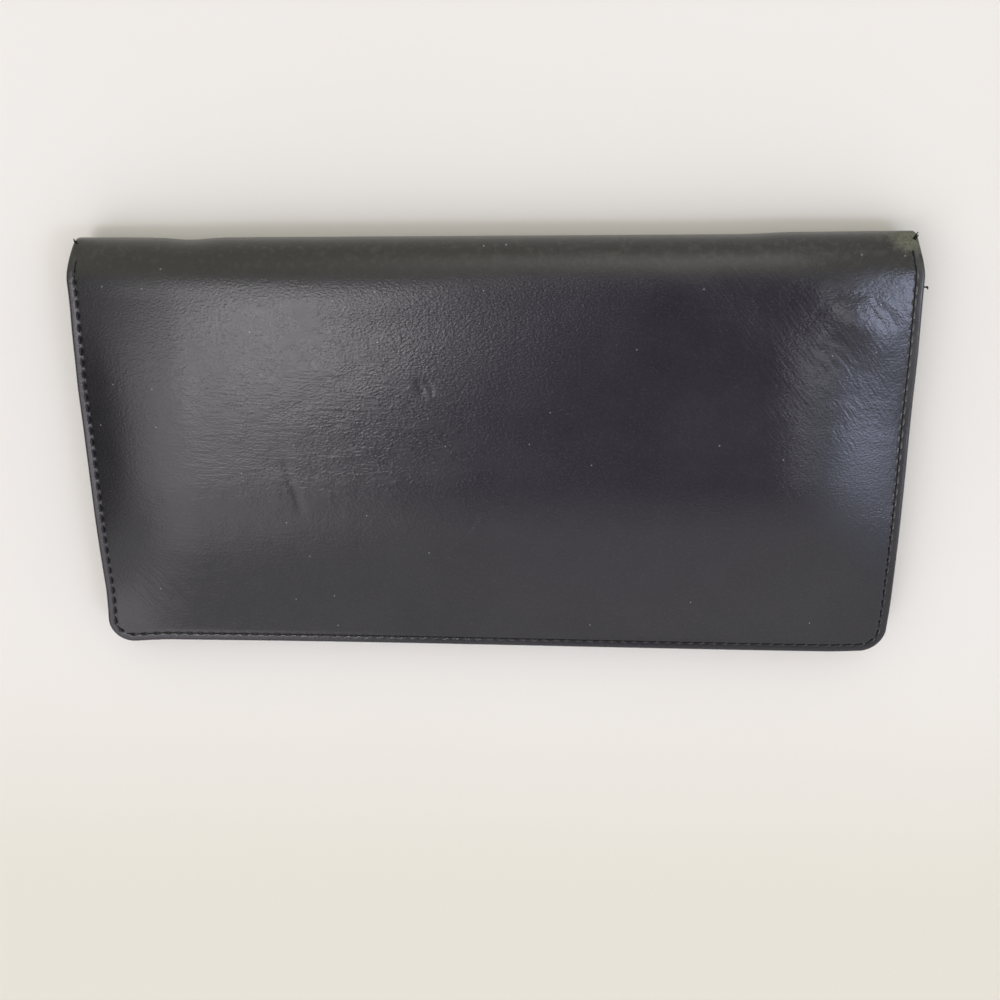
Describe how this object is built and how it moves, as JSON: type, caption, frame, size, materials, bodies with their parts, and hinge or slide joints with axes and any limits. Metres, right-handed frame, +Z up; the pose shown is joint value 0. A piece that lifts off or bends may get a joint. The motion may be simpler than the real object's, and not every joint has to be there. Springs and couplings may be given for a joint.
{
  "type": "long bifold wallet",
  "caption": "Long bifold wallet in smooth black leather, closed, that opens flat about its fold, with two bill compartments, eight card slots and two slip pockets.",
  "frame": {"origin": "under the middle of the closed wallet, on the surface that it lies on", "axes": "+X along the fold, +Y from the stitched outer edge to the fold, +Z up through the thickness, back cover down"},
  "size_m": [0.19, 0.1, 0.0163],
  "materials": {
    "cover_leather": "satin",
    "inner_leather": "satin",
    "pocket_leather": "satin",
    "lining_cloth": "matte",
    "stiffening_board": "matte",
    "sewing_thread": "matte"
  },
  "bodies": {
    "back_half": {"back_bill_panel": "inner_leather", "back_board": "stiffening_board", "back_cover": "cover_leather", "back_lining": "lining_cloth", "back_seam_thread": "sewing_thread", "card_slot_left_1": "pocket_leather", "card_slot_left_2": "pocket_leather", "card_slot_left_3": "pocket_leather", "card_slot_left_4": "pocket_leather", "card_slot_right_1": "pocket_leather", "card_slot_right_2": "pocket_leather", "card_slot_right_3": "pocket_leather", "card_slot_right_4": "pocket_leather", "divider_thread": "sewing_thread"},
    "fold_strip": {"fold_leather": "cover_leather", "fold_lining": "lining_cloth"},
    "front_half": {"front_bill_panel": "inner_leather", "front_board": "stiffening_board", "front_cover": "cover_leather", "front_lining": "lining_cloth", "front_seam_thread": "sewing_thread", "slip_pocket_short": "pocket_leather", "slip_pocket_tall": "pocket_leather"}
  },
  "joints": [
    {"name": "fold_bend_back", "type": "hinge", "parent": "back_half", "child": "fold_strip", "pos_m": [0, 0.04761, 0.00239], "axis": [-1, 0, 0], "range_deg": [0, 90]},
    {"name": "fold_bend_front", "type": "hinge", "parent": "fold_strip", "child": "front_half", "pos_m": [0, 0.04761, 0.01391], "axis": [-1, 0, 0], "range_deg": [0, 90]}
  ],
  "couplings": [
    {"joint": "fold_bend_back", "follows": "fold_bend_front", "ratio": 1}
  ]
}
